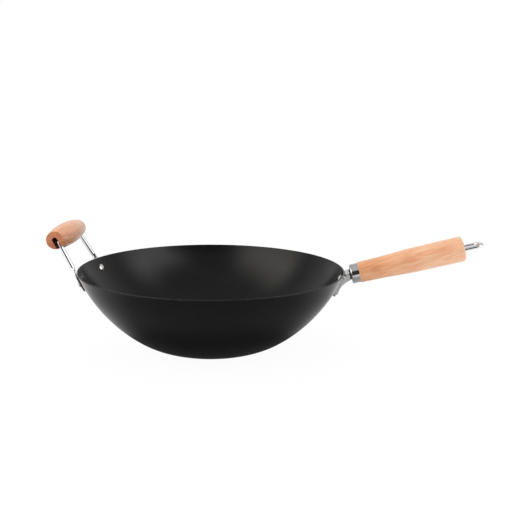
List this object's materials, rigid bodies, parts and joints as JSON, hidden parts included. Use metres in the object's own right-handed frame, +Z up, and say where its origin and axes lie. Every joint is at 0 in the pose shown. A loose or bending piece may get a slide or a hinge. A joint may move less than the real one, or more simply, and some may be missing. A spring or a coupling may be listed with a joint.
{
  "type": "wok",
  "caption": "Round-bottomed black steel wok with a small flat base, a riveted wooden stick handle with a hanging loop, and a wooden helper grip on a wire bail.",
  "frame": {"origin": "centre of the underside of the flat base", "axes": "+X towards the stick handle, +Z up; the bowl's axis is Z and both handles lie in the XZ plane, the helper handle on the -X side"},
  "size_m": [0.5604, 0.3496, 0.163],
  "materials": {
    "black_coated_steel": "thin steel sheet with a matte black non-stick coating inside and out",
    "satin_steel": "satin pressed steel",
    "rivet_metal": "smooth pale aluminium",
    "black_spacer": "matte black heat-resistant spacer",
    "polished_ferrule": "polished steel cap",
    "rod_steel": "plain steel rod",
    "beech": "pale pinkish beech, sanded and lightly sealed, grain along the grip",
    "chrome_wire": "bright chromed wire"
  },
  "bodies": {
    "root": {"bowl": "black_coated_steel", "handle_bracket": "satin_steel", "bracket_rivet_upper": "rivet_metal", "bracket_rivet_lower": "rivet_metal", "heat_spacer": "black_spacer", "ferrule": "polished_ferrule", "tie_rod": "rod_steel", "stick_grip": "beech", "hanging_loop": "chrome_wire", "helper_bail": "chrome_wire", "helper_grip": "beech", "helper_rivet_front": "rivet_metal", "helper_rivet_rear": "rivet_metal"}
  },
  "joints": []
}
